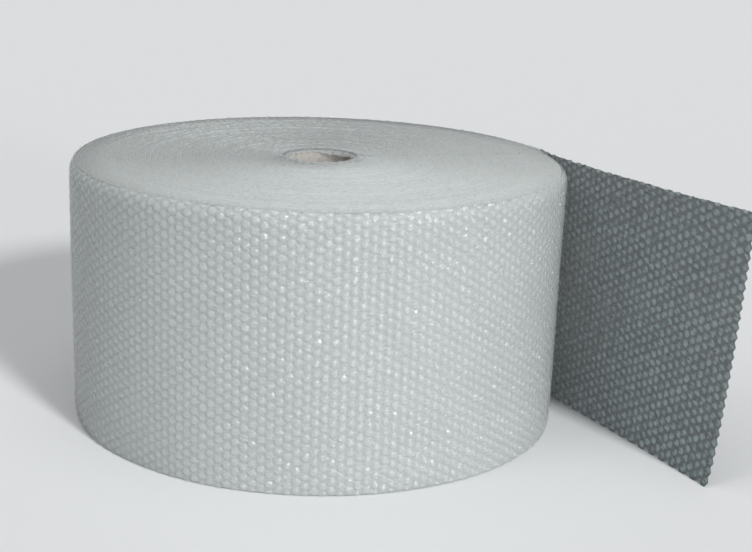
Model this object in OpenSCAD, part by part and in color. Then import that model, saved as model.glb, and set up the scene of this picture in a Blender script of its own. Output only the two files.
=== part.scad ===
/* [Roll] */
// Width of the film, which is the height of the roll as it stands on its end
film_w = 300; // [200:5:500]
// Outer radius of the roll, to the tops of the bubbles on its last turn
roll_r = 290; // [200:5:300]
// Radial space that one turn takes up inside the roll, where its bubbles are pressed
turn_pitch = 2.6; // [2.2:0.2:6]
// Depth of the groove between two turns on the end faces
turn_groove_depth = 1; // [0.4:0.1:1.6]
// Share of a turn's space that its flat edge fills, the groove taking the rest
turn_land_share = 0.5; // [0.3:0.05:0.7]
// How far the last turn stands back from the end faces, which softens the roll's shoulders
shoulder_drop = 1; // [0.5:0.1:3]

/* [Film] */
// Thickness of the free film, from its flat side to the tops of its bubbles
film_t = 4; // [3.6:0.2:6]
// Height of the bubbles above the low points between them
bubble_h = 2.4; // [1:0.1:3.2]
// Spacing of the raised points up a column, coarser than the 10.7 mm between real bubbles to spare faces
bubble_pitch = 17.5; // [17:0.5:40]

/* [Loose end] */
// Length of film that stands free of the roll
loose_l = 346; // [200:5:500]
// Direction in which the film leaves the roll, as an angle from the X axis seen from above
leave_angle = 15; // [0:1:45]
// Angle by which the film bends outward just after it leaves the roll
bend_angle = 10; // [4:1:20]
// Length of film over which that bend runs
bend_l = 48; // [20:2:120]
// How far the run after the bend bows outward at its middle
bow = 2; // [1:0.5:10]
// How far the cut end leans out of line at its top corner
flare = 31; // [5:1:60]

/* [Core] */
// Bore of the cardboard tube
core_bore_d = 76; // [50:1:90]
// Wall of the cardboard tube
core_wall = 4; // [2:0.5:8]
// Gap between the tube and the innermost turn
core_gap = 0.2; // [0.1:0.05:0.5]

/* [Hidden] */
core_r = core_bore_d / 2 + core_wall;
film_bore_r = core_r + core_gap;

// Facets round a full turn, the same in the tube and the turns so that theirs line up
round_facets = 144;

// How far the cut of the bore runs past both ends of the tube
cut_through = 1;

// Each column holds a row of points every half spacing, and they are high and low by turns
rows = 2 * round(film_w / bubble_pitch);
row_h = (film_w - 2 * shoulder_drop) / rows;
column_w = row_h * sqrt(3);
wall_columns = round(2 * PI * roll_r / column_w);
loose_columns = round(loose_l / column_w);

// The flat back of the loose end needs only every fourth column
back_step = 4;
back_columns = floor(loose_columns / back_step);

// The last turn has a least thickness, and laps over the turns inside it, so that the two make one solid
web_wall = 1;
lap = 3;
turns_r = roll_r - film_t - bubble_h - web_wall;
lap_r = turns_r - lap;
turn_count = floor((turns_r - film_bore_r) / turn_pitch);

// Loose end seen from above: a bend, then a slightly bowed run whose cut end leans out as it rises
bend_r = bend_l / (bend_angle * PI / 180);
lean_along = 2;
lean_up = 0.6;
leave_point = roll_r * [cos(leave_angle), sin(leave_angle)];
function heading(s) = leave_angle + bend_angle * min(s, bend_l) / bend_l;
function outward(s) = [cos(heading(s)), sin(heading(s))];
function along(s) = [sin(heading(s)), -cos(heading(s))];
function bend_point(s) = leave_point
    + bend_r * [cos(leave_angle) - cos(heading(s)), sin(leave_angle) - sin(heading(s))];
function run(s) = max(0, s - bend_l);
function run_share(s) = run(s) / (loose_l - bend_l);
function bow_at(s) = bow * 4 * run_share(s) * (1 - run_share(s));
function lean(s, rise) = flare * pow(run_share(s), lean_along) * pow(rise, lean_up);
function loose_point(s, rise, depth) =
    bend_point(s) + run(s) * along(s) + (bow_at(s) + lean(s, rise) - depth) * outward(s);

// Last turn seen from above: it runs clockwise and grows by one film thickness on its way round
function wall_point(turn, depth) = (roll_r - film_t + film_t * turn - depth)
    * [cos(leave_angle - 360 * turn), sin(leave_angle - 360 * turn)];

// One column of points for each place along the film
function lifted(p, row) = [p[0], p[1], shoulder_drop + row * row_h];
function depth_at(column, row) = (column + row) % 2 == 0 ? 0 : bubble_h;
function wall_column(i) = [for (j = [0 : rows])
    lifted(wall_point(i / wall_columns, i == 0 ? 0 : depth_at(i, j)), j)];
function loose_column(i) = [for (j = [0 : rows])
    lifted(loose_point(loose_l * i / loose_columns, j / rows,
        i == loose_columns ? 0 : depth_at(wall_columns + i, j)), j)];
function back_column(s) = [for (j = [0 : rows]) lifted(loose_point(s, j / rows, film_t), j)];

// Last turn and loose end as one web: a closed chain of columns, round a plain bore
module web() {
    columns = concat(
        [for (i = [0 : wall_columns - 1]) wall_column(i)],
        [for (i = [0 : loose_columns]) loose_column(i)],
        [back_column(loose_l)],
        [for (i = [back_columns : -1 : 1]) back_column(loose_l * i * back_step / loose_columns)]
    );
    count = len(columns);
    ring_start = count * (rows + 1);
    ring_points = [for (i = [0 : wall_columns - 1], z = [shoulder_drop, film_w - shoulder_drop])
        let (a = leave_angle - 360 * i / wall_columns)
        [lap_r * cos(a), lap_r * sin(a), z]];

    function at(i, j) = (i % count) * (rows + 1) + j;
    function ring(i, side) = ring_start + 2 * (i % wall_columns) + side;

    // Each cell is split along its low diagonal, so that every bubble is a point with four faces
    side_faces = [for (i = [0 : count - 1], j = [0 : rows - 1])
        each (i + j) % 2 == 0
            ? [[at(i, j), at(i + 1, j), at(i, j + 1)], [at(i + 1, j), at(i + 1, j + 1), at(i, j + 1)]]
            : [[at(i, j), at(i + 1, j), at(i + 1, j + 1)], [at(i, j), at(i + 1, j + 1), at(i, j + 1)]]];
    wall_faces = [for (i = [0 : wall_columns - 1])
        let (next = (i + 1) % wall_columns)
        each [
            [ring(i, 0), ring(i, 1), ring(next, 1), ring(next, 0)],
            [at(i, 0), ring(i, 0), ring(next, 0), at(next, 0)],
            [at(i, rows), at(next, rows), ring(next, 1), ring(i, 1)]
        ]];
    loose_edge = [0, for (i = [wall_columns - 1 : count - 1]) i];
    last = len(loose_edge) - 1;
    loose_faces = [
        [for (k = [last : -1 : 0]) at(loose_edge[k], 0)],
        [for (k = [0 : last]) at(loose_edge[k], rows)]
    ];
    polyhedron(
        points = concat([for (c = columns, p = c) p], ring_points),
        faces = concat(side_faces, wall_faces, loose_faces)
    );
}

// Half section of the wound turns, with a groove between each turn and the next at both ends
module turns_section() {
    first_r = turns_r - turn_count * turn_pitch;
    land = turn_pitch * turn_land_share;
    edge = [for (i = [0 : turn_count - 1])
        let (r = first_r + i * turn_pitch)
        each [[r, 0], [r + land, 0], [r + (land + turn_pitch) / 2, turn_groove_depth]]];
    under = concat([[film_bore_r, 0]], edge, [[turns_r, 0]]);
    over = [for (i = [len(under) - 1 : -1 : 0]) [under[i][0], film_w - under[i][1]]];
    polygon(concat(under, over));
}

module bubble_film() {
    color([0.80, 0.86, 0.86]) {
        web();
        rotate_extrude($fn = round_facets) turns_section();
    }
}

module core_tube() {
    color([0.62, 0.55, 0.46]) difference() {
        cylinder(r = core_r, h = film_w, $fn = round_facets);
        translate([0, 0, -cut_through])
            cylinder(d = core_bore_d, h = film_w + 2 * cut_through, $fn = round_facets);
    }
}

bubble_film();
core_tube();
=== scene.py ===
import math
from functools import cached_property

import bpy
import numpy as np
from mathutils import Matrix, Vector


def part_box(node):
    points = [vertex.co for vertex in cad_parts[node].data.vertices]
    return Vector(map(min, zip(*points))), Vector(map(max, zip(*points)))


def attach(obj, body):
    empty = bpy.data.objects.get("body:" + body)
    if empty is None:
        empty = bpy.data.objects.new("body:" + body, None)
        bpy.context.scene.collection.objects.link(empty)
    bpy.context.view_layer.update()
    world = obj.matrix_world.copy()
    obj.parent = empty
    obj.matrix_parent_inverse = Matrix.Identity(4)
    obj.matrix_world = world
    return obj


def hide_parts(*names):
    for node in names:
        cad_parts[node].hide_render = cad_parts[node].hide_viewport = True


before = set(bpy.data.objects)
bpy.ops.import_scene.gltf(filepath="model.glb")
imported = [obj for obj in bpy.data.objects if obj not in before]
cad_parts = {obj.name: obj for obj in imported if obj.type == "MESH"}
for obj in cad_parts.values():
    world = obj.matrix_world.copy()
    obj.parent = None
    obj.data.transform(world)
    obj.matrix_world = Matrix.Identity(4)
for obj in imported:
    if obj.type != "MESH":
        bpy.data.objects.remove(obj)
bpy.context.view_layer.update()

# Sizes of the roll, in metres, as the solids have them
FILM_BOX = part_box("bubble_film")
CORE_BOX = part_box("core_tube")
FILM_W = FILM_BOX[1][2] - FILM_BOX[0][2]
CORE_R = CORE_BOX[1][0]
ROLL_R = 0.290
FILM_T = 0.004
TURN_PITCH = 0.0026

# Loose end: the angle at which it leaves the roll, its bend, length and bow, how far its top corner leans out,
# and the powers by which that lean grows along it and up it
LEAVE_ANGLE = math.radians(15)
BEND_ANGLE = math.radians(10)
BEND_L = 0.048
LOOSE_L = 0.346
BOW = 0.002
FLARE = 0.031
LEAN_ALONG = 2
LEAN_UP = 0.6

# Bubbles: a lattice of columns, each half a spacing up from the last, so that their rows slant at 30 degrees
BUBBLE_ROWS = 28
BUBBLE_PITCH = FILM_W / BUBBLE_ROWS
BUBBLE_H = 0.0024
COLUMN_W = BUBBLE_PITCH * math.sqrt(3) / 2
ROW_SLANT = math.radians(30)
WALL_COLUMNS = round(2 * math.pi * (ROLL_R - FILM_T) / COLUMN_W)
LOOSE_COLUMNS = round(LOOSE_L / COLUMN_W)
TUCKED_COLUMNS = 4
WALL_PIECES = 3
WALL_L = WALL_COLUMNS * COLUMN_W

# Rings of points of one bubble: radius as a share of the spacing, number of points, height and share of the
# dimple. The last ring is the edge of the six-sided patch of film round the bubble.
BUBBLE_RINGS = (
    (0.17, 6, 0.93, 0.6),
    (0.335, 12, 0.62, 0.0),
    (0.425, 12, 0.28, 0.0),
    (0.485, 12, 0.0, 0.0),
    (1 / math.sqrt(3), 6, 0.0, 0.0),
)

# How much the bubbles differ: the ranges of fullness and dimple, and how widely shift and tilt are spread
FULLNESS = (0.85, 1.10)
SHIFT = 0.012
TILT = 0.16
DIMPLE = (-0.05, 0.30)

# How far the flat film lies inside the roll's outer radius, and how much deeper the layers behind it lie
FILM_DEPTH = 0.0030
UNDER_DEPTH = 0.0007
BACK_DEPTH = 0.0006

# The last turns draw in at both ends of the roll, most at the top
TOP_IN = 0.0048
BOTTOM_IN = 0.0012
SHOULDER_H = 0.013

# The film comes free of the roll over this length before it leaves it
FREEING_L = 0.05

# Seeds of what is drawn at random
RIPPLE_SEED = 12
TOP_EDGES_SEED = 13
BOTTOM_EDGES_SEED = 14
RAGGED_SEED = 15
COLLAR_SEED = 16
COLLAR_FINE_SEED = 17
CRUMPLE_SEED = 18
BUBBLE_SEED = 111


# Film seen from above

def wall_point(turn, height):
    """Points of the last turn.

    turn runs from 0 to 1 on its way round, clockwise, and height is above the flat film.
    """
    radius = ROLL_R - FILM_T + FILM_T * turn - FILM_DEPTH + height
    angle = LEAVE_ANGLE - 2 * math.pi * turn
    return np.stack([radius * np.cos(angle), radius * np.sin(angle)], axis=-1)


def loose_point(s, rise, height):
    """Points of the loose end.

    s is the distance from the roll, and rise runs from 0 at the floor to 1 at the top. height is above the
    flat film.
    """
    bend_r = BEND_L / BEND_ANGLE
    heading = LEAVE_ANGLE + BEND_ANGLE * np.minimum(s, BEND_L) / BEND_L
    run = np.maximum(0, s - BEND_L)
    along = np.stack([np.sin(heading), -np.cos(heading)], axis=-1)
    outward = np.stack([np.cos(heading), np.sin(heading)], axis=-1)
    start = ROLL_R * np.array([math.cos(LEAVE_ANGLE), math.sin(LEAVE_ANGLE)])
    bend = bend_r * np.stack([math.cos(LEAVE_ANGLE) - np.cos(heading),
                              math.sin(LEAVE_ANGLE) - np.sin(heading)], axis=-1)
    share = run / (LOOSE_L - BEND_L)
    lean = FLARE * share ** LEAN_ALONG * np.clip(rise, 0, 1) ** LEAN_UP + BOW * 4 * share * (1 - share)
    return start + bend + run[..., None] * along + (lean - FILM_DEPTH + height)[..., None] * outward


def smooth_noise(x, y, waves, seed):
    """A sum of sine waves in random directions: smooth, the same every run, and of about unit size."""
    rng = np.random.default_rng(seed)
    total = np.zeros_like(x)
    for _ in range(waves):
        angle, phase = rng.uniform(0, 2 * math.pi, 2)
        scale = rng.uniform(0.6, 1.6)
        total += np.sin(scale * (x * math.cos(angle) + y * math.sin(angle)) + phase)
    return total * math.sqrt(2 / waves)


def flat_grid(first, second):
    """Every pair of a first and a second value, as two flat lists in which the second changes fastest."""
    return (values.ravel() for values in np.meshgrid(first, second, indexing="ij"))


def grid_faces(columns, rows):
    """Four-sided faces of a grid of points that is stored column by column."""
    at = np.arange(columns * rows).reshape(columns, rows)
    return np.stack([at[:-1, :-1], at[1:, :-1], at[1:, 1:], at[:-1, 1:]], axis=-1).reshape(-1, 4)


# Bubbles

def ring_faces(inner_start, inner_count, outer_start, outer_count):
    """Triangles between two rings of points, one of which may have half as many points as the other."""
    steps = max(inner_count, outer_count)
    faces = []
    for k in range(steps):
        inner, inner_next = (inner_start + n * inner_count // steps % inner_count for n in (k, k + 1))
        outer, outer_next = (outer_start + n * outer_count // steps % outer_count for n in (k, k + 1))
        if outer != outer_next:
            faces.append((inner, outer, outer_next))
        if inner != inner_next:
            faces.append((inner, outer_next, inner_next))
    return faces


def bubble_cell():
    """One bubble and the patch of film round it: points (along, up, height, dimple) and triangles."""
    first_count = BUBBLE_RINGS[0][1]
    points = [(0.0, 0.0, 1.0, 1.0)]
    faces = [(0, 1 + k, 1 + (k + 1) % first_count) for k in range(first_count)]
    start = 1
    for index, (radius, count, height, dimple) in enumerate(BUBBLE_RINGS):
        for k in range(count):
            angle = 2 * math.pi * k / count
            points.append((radius * math.cos(angle), radius * math.sin(angle), height, dimple))
        if index + 1 < len(BUBBLE_RINGS):
            faces += ring_faces(start, count, start + count, BUBBLE_RINGS[index + 1][1])
        start += count
    return np.array(points), np.array(faces)


def join_shared(points, faces):
    """Joins the points that neighbouring bubbles share, and drops the points that no face uses."""
    joined_within = 1e-6
    keys = np.round(points[:, :2] / joined_within).astype(np.int64)
    _, kept, back = np.unique(keys, axis=0, return_index=True, return_inverse=True)
    used, faces = np.unique(back.reshape(-1)[faces], return_inverse=True)
    return points[kept[used]], faces.reshape(-1, 3)


def bubble_sheet(first, count):
    """Bubbles of a run of columns, as flat points (s, z, height, domed) and triangles."""
    cell, cell_faces = bubble_cell()
    rng = np.random.default_rng(BUBBLE_SEED + first)
    on_bubble = cell[:, 2] > 0
    all_points, all_faces = [], []
    for column in range(first, first + count):
        odd = column % 2
        for row in range(BUBBLE_ROWS + odd):
            centre_z = (row + 0.5 - 0.5 * odd) * BUBBLE_PITCH
            full = rng.uniform(*FULLNESS)
            shift = rng.normal(0, SHIFT, 2)
            tilt = rng.normal(0, TILT, 2)
            dimple = rng.uniform(*DIMPLE)
            s = (column + 0.5) * COLUMN_W + BUBBLE_PITCH * (cell[:, 0] + on_bubble * shift[0])
            z = centre_z + BUBBLE_PITCH * (cell[:, 1] + on_bubble * shift[1])
            height = cell[:, 2] * (full + tilt[0] * cell[:, 0] + tilt[1] * cell[:, 1]) - dimple * cell[:, 3]
            all_faces.append(cell_faces + len(all_points) * len(cell))
            all_points.append(np.column_stack([s, z, BUBBLE_H * height, cell[:, 2]]))
    points, faces = np.concatenate(all_points), np.concatenate(all_faces)
    slack = BUBBLE_PITCH * 0.03
    inside = ((points[faces, 1] > -slack) & (points[faces, 1] < FILM_W + slack)).all(axis=1)
    points, faces = join_shared(points, faces[inside])
    points[:, 1] = points[:, 1].clip(0, FILM_W)
    return points, faces


# Places of the film in space

def shoulder(z):
    """How far the last turns draw in towards the roll's ends, where nothing holds their edges out."""
    most = np.where(z > FILM_W / 2, TOP_IN, BOTTOM_IN)
    from_end = np.minimum(z, FILM_W - z)
    return most * (1 - np.clip(from_end / SHOULDER_H, 0, 1)) ** 2


def ripple(s, z):
    """Gentle waves of the outermost film, by length along it and height."""
    size, wave_along, wave_up = 0.0006, 0.035, 0.05
    return size * smooth_noise(s / wave_along, z / wave_up, 9, RIPPLE_SEED)


def ragged(s, z):
    """Heights of points once the film is cut unevenly along its top edge."""
    edge_h, cut_down, uneven, wave = 0.004, 0.0008, 0.0005, 0.0016
    at_edge = np.clip(1 - (FILM_W - z) / edge_h, 0, 1)
    return z - at_edge * (cut_down + uneven * smooth_noise(s / wave, 0 * s, 9, RAGGED_SEED))


def place_sheet(sheet):
    """Flat points of the film to their places: on the roll up to the leaving line, then on the loose end."""
    settled = 0.0002
    s, height = sheet[:, 0], sheet[:, 2]
    z = ragged(s, sheet[:, 1])
    free = np.clip((s - WALL_L + FREEING_L) / FREEING_L, 0, 1)
    inward = (1 - free) * (settled + shoulder(z) - ripple(s, z))
    on_wall = wall_point(np.minimum(s, WALL_L) / WALL_L, height - inward)
    along_loose = np.maximum(s - WALL_L, 0) * LOOSE_L / (LOOSE_COLUMNS * COLUMN_W)
    on_loose = loose_point(along_loose, z / FILM_W, height)
    return np.column_stack([np.where((s <= WALL_L)[:, None], on_wall, on_loose), z])


def carried_by(sheet):
    """What the points carry for the looks: how domed, and places along and across the slanting rows."""
    drawn_out = 0.25
    s, z, domed = sheet[:, 0], sheet[:, 1], sheet[:, 3]
    level, up = math.cos(ROW_SLANT), math.sin(ROW_SLANT)
    return {"domed": domed, "slant": drawn_out * (z * up - s * level), "across": s * up + z * level}


def under_turn():
    """The turn beneath the outermost one, which shows through it."""
    short = 0.0009
    around, up_shoulder, up_wall = 361, 6, 31
    low = np.linspace(short, SHOULDER_H, up_shoulder)
    middle = np.linspace(SHOULDER_H, FILM_W - SHOULDER_H, up_wall)
    high = np.linspace(FILM_W - SHOULDER_H, FILM_W - short, up_shoulder)
    heights = np.concatenate([low[:-1], middle, high[1:]])
    turn, z = flat_grid(np.linspace(0, 1, around), heights)
    plan = wall_point(turn, ripple(turn * WALL_L, z) - UNDER_DEPTH - shoulder(z))
    return np.column_stack([plan, z]), grid_faces(around, len(heights))


def loose_back():
    """The flat film behind the bubbles of the loose end, from where the film comes free of the roll."""
    columns, rows = 56, 31
    s, z = flat_grid(np.linspace(-FREEING_L, LOOSE_L, columns), np.linspace(0, FILM_W, rows))
    height = np.full(len(s), -BACK_DEPTH)
    on_wall = wall_point((WALL_L + s) / WALL_L, height)
    on_loose = loose_point(np.maximum(s, 0), z / FILM_W, height)
    plan = np.where((s < 0)[:, None], on_wall, on_loose)
    return np.column_stack([plan, z]), grid_faces(columns, rows)[:, ::-1]


# Turns of the end faces

def swell(radius):
    """How far the innermost turns stand up round the tube."""
    most, reach = 0.0026, 0.014
    return most * np.exp(-(radius - CORE_R) / reach)


def core_collar():
    """The film next to the tube, which is crumpled and laps over the tube's end."""
    around, rings = 241, 15
    mouth_r, reach = 0.0335, 0.008
    wavy, finely_wavy = 0.0010, 0.0002
    crumple_h, crumple_l = 0.0005, 0.0018
    angle, across = flat_grid(np.linspace(0, 2 * math.pi, around), np.linspace(0, 1, rings))
    x, y = np.cos(angle), np.sin(angle)
    inner = (mouth_r + wavy * smooth_noise(4 * x, 4 * y, 9, COLLAR_SEED)
             + finely_wavy * smooth_noise(16 * x, 16 * y, 9, COLLAR_FINE_SEED))
    outer = CORE_R + reach
    radius = inner + (outer - inner) * across
    crumple = smooth_noise(radius * x / crumple_l, radius * y / crumple_l, 15, CRUMPLE_SEED)
    profile_r = [0.031, 0.035, 0.038, CORE_R, outer]
    profile_h = [-0.0035, -0.0008, 0.0012, 0.0028, swell(outer) - 0.0010]
    z = (FILM_W + crumple_h * np.clip(2 * (1 - across), 0, 1) * crumple
         + np.interp(radius, profile_r, profile_h))
    return np.column_stack([radius * x, radius * y, z]), grid_faces(around, rings)


def turn_ribbon(top, step, seed):
    """The cut edges of the wound turns, as one ribbon along their spiral, wavy where its bubbles are cut.

    Gives its points, its faces and how light each point is, carried as domed: painted shade darkens the dips
    between turns, less where a bubble is cut. Each turn has four lines of points, with a place across the turn
    and a share of the dip between two turns.
    """
    lines = ((0.0, 0.0), (0.35, 0.35), (0.70, 1.0), (1.0, 0.0))
    fewest_steps = 24
    under_wall, beside_core, below_end = 0.0004, 0.0003, 0.0006
    deepest, bubble_rise = 0.0005, 0.0004
    phase_sway, turn_sway, point_sway = 0.5, 0.00006, 0.00014
    rim_drop, rim_reach = 0.0004, 0.006
    dip_shade, less_shade_in_bubble = 0.6, 0.6
    outer = ROLL_R - FILM_T - FILM_DEPTH + under_wall - (TOP_IN if top else BOTTOM_IN)
    inmost = CORE_R + beside_core
    turns = round((outer - inmost) / TURN_PITCH)
    pitch = (outer - inmost) / turns
    rng = np.random.default_rng(seed)
    strips, quads, wound = [], [], 0.0
    for turn in range(turns):
        inner = inmost + turn * pitch
        count = max(fewest_steps, round(2 * math.pi * inner / step))
        t = np.linspace(0, 1, count + 1)
        angle = LEAVE_ANGLE - 2 * math.pi * t
        arc = wound + 2 * math.pi * inner * t
        wound += 2 * math.pi * (inner + pitch / 2)
        bubble = 0.5 + 0.5 * np.cos(arc / COLUMN_W * 2 * math.pi + rng.normal(0, phase_sway))
        sway = rng.normal(0, turn_sway) + rng.normal(0, point_sway, count + 1)
        sway[-1] = sway[0]
        sunk = rim_drop * math.exp(-(outer - inner) / rim_reach)
        raised = swell(inner) if top else 0.0
        width = pitch if turn < turns - 1 else pitch * (1 - t) + FILM_T * t
        first_point = sum(len(strip) for strip in strips)
        for across, dip in lines:
            radius = inner + pitch * t + across * width
            swaying = sway if 0 < across < 1 else 0.0
            drop = below_end + sunk - raised + dip * (deepest - bubble_rise * bubble) - swaying
            z = FILM_W - drop if top else drop
            # Painted shade: the dips between turns are made darker, less so where a bubble is cut
            domed = 1 - dip_shade * dip * (1 - less_shade_in_bubble * bubble)
            strips.append(np.column_stack([radius * np.cos(angle), radius * np.sin(angle), z, domed]))
        faces = first_point + grid_faces(len(lines), count + 1)
        quads.append(faces[:, [0, 3, 2, 1]] if top else faces)
    points = np.concatenate(strips)
    return points[:, :3], np.concatenate(quads), points[:, 3]


# Materials

class Tree:
    """The nodes of a material or of the world, with short ways to add to them."""

    def __init__(self, owner):
        owner.use_nodes = True
        self.nodes = owner.node_tree.nodes
        self.links = owner.node_tree.links

    def put(self, value, socket):
        """Gives a socket another node's output or a plain value."""
        if isinstance(value, bpy.types.NodeSocket):
            self.links.new(value, socket)
        else:
            socket.default_value = value

    def add(self, kind, inputs, output=0, **settings):
        """Adds a node with those inputs and settings, and gives back one of its outputs."""
        node = self.nodes.new("ShaderNode" + kind)
        for name, value in settings.items():
            setattr(node, name, value)
        for socket, value in inputs.items():
            self.put(value, node.inputs[socket])
        return node.outputs[output]

    def compute(self, operation, *values):
        return self.add("Math", dict(enumerate(values)), operation=operation)

    def plus(self, a, b):
        return self.compute("ADD", a, b)

    def minus(self, a, b):
        return self.compute("SUBTRACT", a, b)

    def times(self, a, b):
        return self.compute("MULTIPLY", a, b)

    def stretched(self, vector, scale):
        return self.add("VectorMath", {0: vector, 1: scale}, operation="MULTIPLY")

    def radius(self, position):
        """Distance from the roll's axis."""
        level = self.stretched(position, (1, 1, 0))
        return self.add("VectorMath", {0: level}, output="Value", operation="LENGTH")

    def carried(self, name):
        """A number that the points of the piece carry."""
        return self.add("Attribute", {}, output="Fac", attribute_name=name)

    def noise(self, vector, scale, detail=3.0):
        return self.add("TexNoise", {"Vector": vector, "Scale": scale, "Detail": detail}, output="Fac")

    def mixed(self, kind, factor, a, b):
        """Between a and b by the factor; kind is RGBA or FLOAT, and its sockets are picked by their place."""
        first, output = (6, 2) if kind == "RGBA" else (2, 0)
        return self.add("Mix", {0: factor, first: a, first + 1: b}, output=output, data_type=kind)

    def ramp(self, factor, *stops):
        """Two colours, each with its place on the factor."""
        node = self.nodes.new("ShaderNodeValToRGB")
        for element, (place, colour) in zip(node.color_ramp.elements, stops):
            element.position = place
            element.color = (*colour, 1)
        self.links.new(factor, node.inputs["Fac"])
        return node.outputs["Color"]

    def bump(self, height, distance, strength=0.8, normal=None):
        inputs = {"Height": height, "Distance": distance, "Strength": strength}
        if normal is not None:
            inputs["Normal"] = normal
        return self.add("Bump", inputs)


class Look(Tree):
    """A material."""

    def __init__(self, name):
        self.material = bpy.data.materials.new(name)
        super().__init__(self.material)

    @cached_property
    def position(self):
        """Places on the piece, from a node that is added when it is first asked for."""
        return self.add("TexCoord", {}, output="Object")

    def finish(self, sockets):
        """Gives the shader's sockets their values, and gives back the material."""
        shader = self.nodes["Principled BSDF"]
        for socket, value in sockets.items():
            self.put(value, shader.inputs[socket])
        return self.material


# Creases of the film and of its cut edges: their stretch, then scale and depth for the body and for the gloss
FILM_CREASES = (1, 1, 2.8), (95, 0.0014), (150, 0.0036)
EDGE_CREASES = (1, 1, 1), (400, 0.0003), (180, 0.0060)
CREASE_DETAIL = 4

# Creases along the slanting rows of bubbles: scale, and depth for the body and the gloss
STREAKS = 300, (0.0002, 0.0022)


def droop(look, normal):
    """Leans the cut edges outward, most at the rim, and ripples them more finely than the turns, for shine."""
    ripple_l, ripple_h, wander_scale, wander_most = 0.0013, 0.00006, 160, 8.0
    lean, rim_r, rim_lean = 0.34, 0.245, 6.0
    radius = look.radius(look.position)
    wander = look.times(look.noise(look.position, wander_scale), wander_most)
    wave = look.compute("SINE", look.plus(look.times(radius, 2 * math.pi / ripple_l), wander))
    past = look.compute("MAXIMUM", look.minus(radius, rim_r), 0.0)
    fall = look.plus(look.times(radius, lean), look.times(look.times(past, past), rim_lean))
    return look.bump(look.times(fall, -1), 1.0, 1.0, look.bump(wave, ripple_h, 1.0, normal))


def film_tone(look, fine, grain, edges):
    """How light the film is, from its low places, darker as painted shade, to the tops of its bubbles, with
    clouds and mottling.
    """
    cloud_scale, ring_scale, cloudy = 18, 45, 0.4
    cloud = look.noise(look.position, cloud_scale)
    if edges:
        rings = look.add("CombineXYZ", {"X": look.radius(look.position)})
        cloud = look.times(look.plus(cloud, look.noise(rings, ring_scale)), 0.5)
    if grain:
        scale, amount = grain
        cloud = look.plus(cloud, look.times(look.minus(look.noise(fine, scale), 0.5), amount))
    return look.plus(look.carried("domed"), look.times(look.minus(cloud, 0.5), cloudy))


def film_normals(look, fine, streaks, edges):
    """Normals of the film's body and of its gloss, whose creases are deeper."""
    stretch, *creases = EDGE_CREASES if edges else FILM_CREASES
    along = look.stretched(look.position, stretch)
    normals = [look.bump(look.noise(along, scale, CREASE_DETAIL), depth) for scale, depth in creases]
    if streaks:
        scale, depths = STREAKS
        streak = look.noise(fine, scale)
        normals = [look.bump(streak, depth, normal=normal) for depth, normal in zip(depths, normals)]
    if edges:
        normals = [droop(look, normal) for normal in normals]
    return normals


def solidity(look, opacity):
    """Opacity from the flat film to the tops of the bubbles, or one plain number for all of it."""
    if isinstance(opacity, float):
        return opacity
    flat, domed = opacity
    return look.compute("MULTIPLY_ADD", look.carried("domed"), domed - flat, flat)


def film_material(name, low, high, opacity=1.0, spot=(0.0, 0.9), grain=None, gloss=1.0, roughness=0.22,
                  coat=0.4, coat_ior=1.8, streaks=False, edges=False, loose=None):
    """Film, cloudy, creased and glossy.

    low and high are its colours in the low places and on the bubbles, the low places darker as painted shade,
    and spot says where on the tone they lie. opacity is one number, or runs from the flat film to the tops of
    the bubbles. grain is the scale and the amount of the fine mottling. streaks adds creases along the
    slanting rows, and edges makes cut edges of it. The darker looks in loose, painted shade, take over where
    the film comes free of the roll.
    """
    look = Look(name)
    fine = look.position
    if streaks:
        fine = look.add("CombineXYZ", {"X": look.carried("slant"), "Y": look.carried("across")})
    tone = film_tone(look, fine, grain, edges)
    colour = look.ramp(tone, (spot[0], low), (spot[1], high))
    solid = solidity(look, opacity)
    if loose:
        # Where the film comes free, colour and opacity turn to the loose end's darker looks, painted shade
        free = look.carried("free")
        shaded_colour = look.ramp(tone, (spot[0], loose["low"]), (spot[1], loose["high"]))
        colour = look.mixed("RGBA", free, colour, shaded_colour)
        solid = look.mixed("FLOAT", free, solid, solidity(look, loose["opacity"]))
    body_normal, gloss_normal = film_normals(look, fine, streaks, edges)
    return look.finish({
        "Base Color": colour, "Alpha": solid,
        "Normal": body_normal, "Coat Normal": gloss_normal,
        "Roughness": roughness, "IOR": 1.3 + 0.25 * gloss, "Specular IOR Level": min(1, 0.4 * gloss),
        "Coat Weight": coat, "Coat IOR": coat_ior, "Coat Roughness": 0.08,
    })


def cardboard_material():
    look = Look("core_cardboard")
    fibre = look.noise(look.position, 260, 6)
    tone = look.plus(fibre, look.times(look.noise(look.position, 22), 0.6))
    return look.finish({
        "Base Color": look.ramp(tone, (0.45, (0.37, 0.35, 0.325)), (1.0, (0.505, 0.48, 0.45))),
        "Normal": look.bump(fibre, 0.0006, 0.6),
        "Roughness": 0.85,
    })


# Pieces

def make_piece(name, points, faces, carried, material):
    """A piece of film; carried holds the numbers that its points carry for its looks."""
    mesh = bpy.data.meshes.new(name)
    mesh.vertices.add(len(points))
    mesh.vertices.foreach_set("co", np.ascontiguousarray(points, dtype=np.float32).ravel())
    size = faces.shape[1]
    mesh.loops.add(faces.size)
    mesh.loops.foreach_set("vertex_index", faces.astype(np.int32).ravel())
    mesh.polygons.add(len(faces))
    mesh.polygons.foreach_set("loop_start", np.arange(0, faces.size, size, dtype=np.int32))
    mesh.polygons.foreach_set("loop_total", np.full(len(faces), size, dtype=np.int32))
    for key, values in carried.items():
        mesh.attributes.new(key, "FLOAT", "POINT").data.foreach_set("value", values.astype(np.float32))
    mesh.update(calc_edges=True)
    mesh.validate()
    mesh.shade_smooth()
    mesh.materials.append(material)
    piece = bpy.data.objects.new(name, mesh)
    bpy.context.scene.collection.objects.link(piece)
    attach(piece, "root")
    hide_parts("bubble_film")


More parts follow.
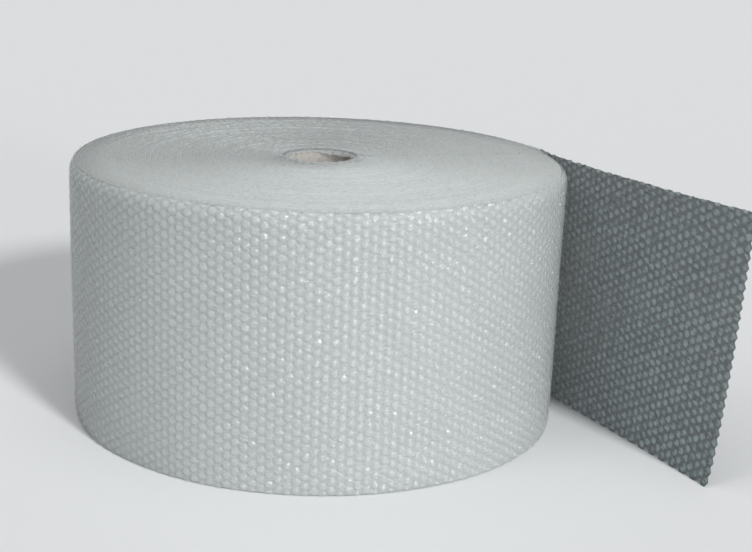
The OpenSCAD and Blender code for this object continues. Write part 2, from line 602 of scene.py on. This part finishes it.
# Dark colours and high opacity of the loose end: the film in painted shade, with its bubble tops lighter as
# painted highlights. The wall takes them on where the film comes free of the roll, as a painted shadow before
# the leaving line.
LOOSE_SHADED_LOOKS = {"low": (0.026, 0.046, 0.052), "high": (0.32, 0.40, 0.415), "opacity": (0.89, 0.91)}


def make_wall():
    """The bubbles of the last turn, whose first few columns lie behind the leaving line."""
    # The wall film is lighter on its bubbles and darker in the low places between them, as painted shade
    material = film_material(
        "film_on_roll", (0.345, 0.375, 0.375), (0.52, 0.55, 0.55), opacity=(0.265, 0.38), spot=(0.2, 1.0),
        grain=(300, 1.0), gloss=1.6, coat=1.0, coat_ior=3.0, streaks=True, loose=LOOSE_SHADED_LOOKS)
    shadow_from, shadow_over = 0.045, 0.03
    total = WALL_COLUMNS + TUCKED_COLUMNS
    starts = [total * index // WALL_PIECES - TUCKED_COLUMNS for index in range(WALL_PIECES + 1)]
    for index, (start, stop) in enumerate(zip(starts, starts[1:])):
        sheet, triangles = bubble_sheet(start, stop - start)
        # Over the last stretch before the leaving line the wall darkens into the loose end's looks, a painted
        # shadow
        free = np.clip((sheet[:, 0] - WALL_L + shadow_from) / shadow_over, 0, 1)
        carried = {**carried_by(sheet), "free": free}
        make_piece(f"film_wall_{index + 1}", place_sheet(sheet), triangles, carried, material)


def make_loose_bubbles():
    # The loose end in dark painted shade, its bubble tops lighter as painted highlights
    material = film_material("film_loose", **LOOSE_SHADED_LOOKS, spot=(0.22, 1.0), grain=(300, 6.0), streaks=True)
    sheet, triangles = bubble_sheet(WALL_COLUMNS, LOOSE_COLUMNS)
    make_piece("film_loose_bubbles", place_sheet(sheet), triangles, carried_by(sheet), material)


def make_plain_film(name, points, quads, material):
    """A piece without bubbles."""
    make_piece(name, points, quads, {"domed": np.full(len(points), 0.5)}, material)


def make_under_turn():
    material = film_material(
        "film_beneath", (0.43, 0.465, 0.46), (0.50, 0.53, 0.525), gloss=0.2, roughness=0.6, coat=0.0)
    make_plain_film("film_beneath", *under_turn(), material)


def make_loose_back():
    # Flat film of the loose end coloured dark as painted shade
    material = film_material("film_loose_back", (0.08, 0.11, 0.115), (0.11, 0.14, 0.145), opacity=0.14)
    make_plain_film("film_loose_back", *loose_back(), material)


def make_collar():
    material = film_material(
        "film_round_core", (0.42, 0.45, 0.45), (0.48, 0.51, 0.51), opacity=0.5, gloss=1.4)
    make_plain_film("film_round_core", *core_collar(), material)


def make_edges():
    """The cut edges of the turns at both ends, with fewer points at the bottom, which rests on the floor."""
    material = film_material(
        "film_edges", (0.285, 0.315, 0.31), (0.50, 0.53, 0.525), grain=(300, 4.0), gloss=0.1, roughness=0.6,
        coat=0.2, coat_ior=1.6, edges=True)
    for name, top, step, seed in (("film_edges_top", True, 0.0031, TOP_EDGES_SEED),
                                  ("film_edges_bottom", False, 0.0085, BOTTOM_EDGES_SEED)):
        points, quads, domed = turn_ribbon(top, step, seed)
        make_piece(name, points, quads, {"domed": domed}, material)


def finish_core():
    core = bpy.data.objects["core_tube"]
    core.data.materials.clear()
    core.data.materials.append(cardboard_material())


# Camera, at the photograph's viewing angle, as it was fitted to the roll's outline

CAMERA_AT = (0, -1.6643, 0.6263)
CAMERA_TARGET = (0.0693, 0, 0.1579)
CAMERA_ROLL = math.radians(2.12)
FOCAL_PX = 1451.95
PHOTO_WIDTH_PX = 752
SENSOR_MM = 36
SEES_TO = 100


def place_camera():
    camera = bpy.data.cameras.new("camera")
    camera.sensor_width = SENSOR_MM
    camera.lens = FOCAL_PX / PHOTO_WIDTH_PX * SENSOR_MM
    camera.clip_end = SEES_TO
    holder = bpy.data.objects.new("camera", camera)
    ahead = (Vector(CAMERA_TARGET) - Vector(CAMERA_AT)).normalized()
    right = ahead.cross(Vector((0, 0, 1))).normalized()
    up = right.cross(ahead)
    turned_right = right * math.cos(CAMERA_ROLL) + up * math.sin(CAMERA_ROLL)
    turned_up = up * math.cos(CAMERA_ROLL) - right * math.sin(CAMERA_ROLL)
    matrix = Matrix((turned_right, turned_up, -ahead)).transposed().to_4x4()
    matrix.translation = Vector(CAMERA_AT)
    holder.matrix_world = matrix
    bpy.context.scene.collection.objects.link(holder)
    bpy.context.scene.camera = holder


# Floor, backdrop and lamps

FLOOR_REACH = 40
FLOOR_COLOUR = (0.74, 0.75, 0.76, 1)
LIGHT_COLOUR = (0.60, 0.61, 0.615, 1)
LIGHT_STRENGTH = 0.4
BACKDROP_COLOUR = (0.66, 0.67, 0.68, 1)

# Lamps: the direction that each shines from, its strength, its width in degrees, and whether gloss shows it
LAMPS = {
    "key": ((1.5, -2.3, 1.5), 2.3, 8, True),
    "low": ((0.95, -1.64, 0.30), 0.8, 10, True),
    "overhead": ((-0.3, -0.3, 2.4), 0.75, 60, False),
    "fill": ((-1.6, -1.0, 2.0), 0.32, 20, True),
}


def make_floor():
    mesh = bpy.data.meshes.new("floor")
    far = FLOOR_REACH
    mesh.from_pydata([(-far, -far, 0), (far, -far, 0), (far, far, 0), (-far, far, 0)], [], [(0, 1, 2, 3)])
    mesh.materials.append(Look("floor").finish({"Base Color": FLOOR_COLOUR, "Roughness": 0.9}))
    floor = bpy.data.objects.new("floor", mesh)
    bpy.context.scene.collection.objects.link(floor)


def make_world():
    """A soft even light, which the camera, gloss and see-through film see as a pale backdrop."""
    world = bpy.data.worlds.new("world")
    tree = Tree(world)
    light = tree.nodes["Background"]
    tree.put(LIGHT_COLOUR, light.inputs["Color"])
    tree.put(LIGHT_STRENGTH, light.inputs["Strength"])
    backdrop = tree.add("Background", {"Color": BACKDROP_COLOUR, "Strength": 1})
    path = tree.nodes.new("ShaderNodeLightPath").outputs
    glossy_or_through = tree.compute("MAXIMUM", path["Is Glossy Ray"], path["Is Transmission Ray"])
    sees = tree.compute("MAXIMUM", path["Is Camera Ray"], glossy_or_through)
    either = tree.add("MixShader", {"Fac": sees, 1: light.outputs["Background"], 2: backdrop})
    tree.put(either, tree.nodes["World Output"].inputs["Surface"])
    bpy.context.scene.world = world


def make_lamps():
    for name, (direction, strength, width, shines) in LAMPS.items():
        lamp = bpy.data.lights.new(name, "SUN")
        lamp.energy = strength
        lamp.angle = math.radians(width)
        holder = bpy.data.objects.new(name, lamp)
        holder.rotation_euler = (-Vector(direction)).to_track_quat("-Z", "Y").to_euler()
        holder.visible_glossy = shines
        bpy.context.scene.collection.objects.link(holder)


make_wall()
make_loose_bubbles()
make_under_turn()
make_loose_back()
make_collar()
make_edges()
finish_core()
place_camera()
make_floor()
make_lamps()
make_world()
bpy.context.scene.view_settings.view_transform = "Standard"
